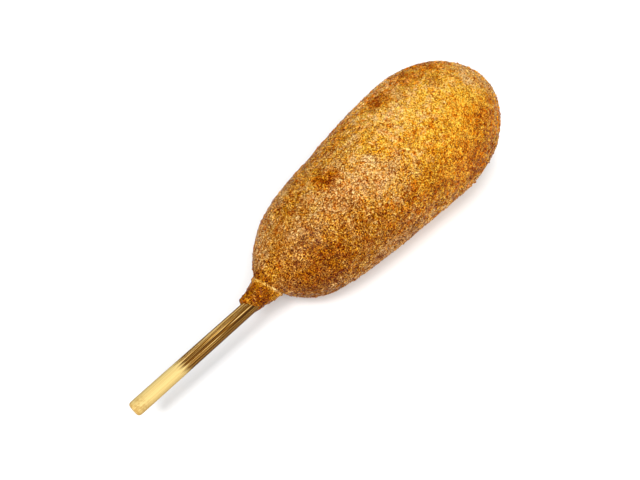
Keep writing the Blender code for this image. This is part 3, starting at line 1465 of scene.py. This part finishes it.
@dataclass
class Stick:
    """The round wooden stick, with raised grain and softened ends."""

    axis: FoodAxis
    finish: WoodFinish = WoodFinish()
    sides: int = 96
    rings: int = 260
    grain_height: float = 0.05 * MM
    grain_waves: Pair = (23.0, 37.0)
    grain_drift: float = 60.0
    soft_end: float = 0.9 * MM
    soft_turns: tuple[int, ...] = (0, 8, 18, 30, 45, 62)

    def build(self) -> Object:
        """Make the stick along its measured line.

        Returns:
            The stick, ready to ride.
        """
        mesh = self.dowel()
        mesh.materials.append(self.finish.material())
        return link("wooden_stick", mesh)

    def stations(self) -> list[float]:
        """Space the rings, closer at both ends.

        Returns:
            Their distances from the bare end.
        """
        length = self.axis.stick_length
        curve = self.soft_end * (1.0 - np.cos(np.radians(self.soft_turns)))
        middle = np.linspace(self.soft_end, length - self.soft_end, self.rings)
        return [*curve, *middle, *(length - curve[::-1])]

    def reach(self, station: float, turn: float) -> float:
        """Work out how far out the wood reaches.

        Args:
            station: distance from the bare end, in metres.
            turn: angle round the stick, in radians.

        Returns:
            The radius there.
        """
        soft = self.soft_end
        cut = max(soft - min(station, self.axis.stick_length - station), 0.0)
        inset = soft - math.sqrt(max(soft * soft - cut * cut, 0.0))
        first, second = self.grain_waves
        ridge = math.sin(first * turn + 2.0) * 0.5
        ridge += math.sin(second * turn + self.grain_drift * station) * 0.5
        return self.axis.stick_radius - inset - self.grain_height * (0.5 + 0.5 * ridge)

    def dowel(self) -> Mesh:
        """Make a closed round bar with grain along it.

        Returns:
            Its mesh, with the measures that the wood's material reads.
        """
        along = self.axis.stick_along
        side = along.cross(Vector((0.0, 0.0, 1.0))).normalized()
        up = side.cross(along)
        turns = [2.0 * math.pi * step / self.sides for step in range(self.sides)]
        spokes = [(turn, side * math.cos(turn) + up * math.sin(turn)) for turn in turns]
        work = bmesh.new()
        loops = []
        for station in self.stations():
            middle = self.axis.stick_end + along * station
            spots = [middle + out * self.reach(station, turn) for turn, out in spokes]
            loops.append([work.verts.new(spot) for spot in spots])
        for near, far in zip(loops, loops[1:]):
            for step in range(self.sides):
                after = (step + 1) % self.sides
                work.faces.new((near[step], near[after], far[after], far[step]))
        work.faces.new(list(reversed(loops[0])))
        work.faces.new(loops[-1])
        bmesh.ops.recalc_face_normals(work, faces=work.faces)
        mesh = bpy.data.meshes.new("wooden_stick")
        work.to_mesh(mesh)
        work.free()
        mesh.shade_smooth()
        points = points_of(mesh) - np.array(self.axis.stick_end)
        store(mesh, "along", points @ np.array(along) / MM)
        store(mesh, "around", np.arctan2(points @ np.array(up), points @ np.array(side)))
        return mesh


# Studio.


def direction(azimuth: float, elevation: float) -> Vector:
    """Find the way to a place in the sky.

    Args:
        azimuth: its angle from +X, in degrees.
        elevation: its angle over the floor, in degrees.

    Returns:
        The way, of length 1.
    """
    turn = math.radians(azimuth)
    lift = math.radians(elevation)
    return Vector((math.cos(turn) * math.cos(lift), math.sin(turn) * math.cos(lift), math.sin(lift)))


@dataclass(frozen=True)
class Lamp:
    """A round soft lamp turned to the middle of the table."""

    name: str
    share: float
    azimuth: float
    elevation: float
    distance: float
    width: float

    def hang(self) -> None:
        """Hang the lamp so that it gives the floor its share of light."""
        out = direction(self.azimuth, self.elevation)
        light = bpy.data.lights.new(self.name, "AREA")
        light.shape = "DISK"
        light.size = self.width
        light.energy = self.share * (math.pi * self.distance) ** 2 / out.z
        holder = link(self.name, light)
        holder.location = out * self.distance
        holder.rotation_euler = out.to_track_quat("Z", "Y").to_euler()


@dataclass
class Studio:
    """A white table in soft light.

    The camera aims at a place in millimetres. Its azimuth counts from -Y, and
    a lamp's from +X.
    """

    azimuth: float = -49.26
    elevation: float = 48.1
    distance: float = 175.5 * MM
    aim: Triple = (-9.5, -2.4, 20.0)
    lens: float = 33.75
    floor_size: float = 3.0
    floor_drop: float = 0.1 * MM
    sky: float = 0.16
    lamps: tuple[Lamp, ...] = (
        Lamp("key", share=0.50, azimuth=195.0, elevation=60.0, distance=4.0, width=1.15),
        Lamp("fill", share=0.80, azimuth=226.0, elevation=48.0, distance=4.0, width=2.6),
    )

    def build(self) -> None:
        """Make the floor, the lights and the camera."""
        self.floor()
        self.lights()
        self.camera()
        bpy.context.scene.view_settings.view_transform = "Standard"

    def floor(self) -> None:
        """Lay a plain white surface under the food."""
        mesh = bpy.data.meshes.new("floor")
        half = self.floor_size / 2
        corners = [(x * half, y * half, -self.floor_drop) for x, y in ((-1, -1), (1, -1), (1, 1), (-1, 1))]
        mesh.from_pydata(corners, [], [(0, 1, 2, 3)])
        graph = ShaderGraph("floor")
        paper = graph.noise(graph.place, 40.0, 2.0, 1.0)
        color = graph.blend(paper, (0.86, 0.86, 0.86, 1.0), (0.9, 0.9, 0.9, 1.0))
        mesh.materials.append(graph.finish({"Base Color": color, "Roughness": 0.9}))
        link("floor", mesh)

    def lights(self) -> None:
        """Hang the lamps in a dim, even sky."""
        world = bpy.data.worlds.new("sky")
        world.use_nodes = True
        sky = world.node_tree.nodes["Background"].inputs
        sky["Color"].default_value = (1.0, 1.0, 1.0, 1.0)
        sky["Strength"].default_value = self.sky
        bpy.context.scene.world = world
        for lamp in self.lamps:
            lamp.hang()

    def camera(self) -> None:
        """Set the camera over the stick's end, looking down on the food."""
        look = -direction(self.azimuth - 90.0, self.elevation)
        lens = bpy.data.cameras.new("camera")
        lens.lens = self.lens
        lens.clip_start = 0.01
        camera = link("camera", lens)
        camera.location = Vector(self.aim) * MM - look * self.distance
        camera.rotation_euler = look.to_track_quat("-Z", "Y").to_euler()
        bpy.context.scene.camera = camera


def hand_over(piece: Object, node: str | None = None) -> None:
    """Give a finished piece its slot, let it stand for a solid if named, and log it.

    Args:
        piece: the finished piece.
        node: the solid that it stands for.
    """
    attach(piece, "root")
    if node:
        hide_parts(node)
    log.info("%s: %d faces", piece.name, len(piece.data.polygons))


def main() -> None:
    """Dress the corn dog and set it in the studio."""
    logging.basicConfig(level=logging.INFO, format="%(name)s: %(message)s")
    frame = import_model()
    axis = FoodAxis.from_frame(frame)
    log.info("crease %s, along %s", axis.start, axis.along)
    crust = Crust(axis).build(frame["nodes"]["batter"])
    hand_over(crust, "batter")
    for kind in GritKind:
        hand_over(Grit(axis, kind).build(crust))
    hand_over(Stick(axis).build(), "stick")
    Studio().build()


if __name__ == "__main__":
    main()
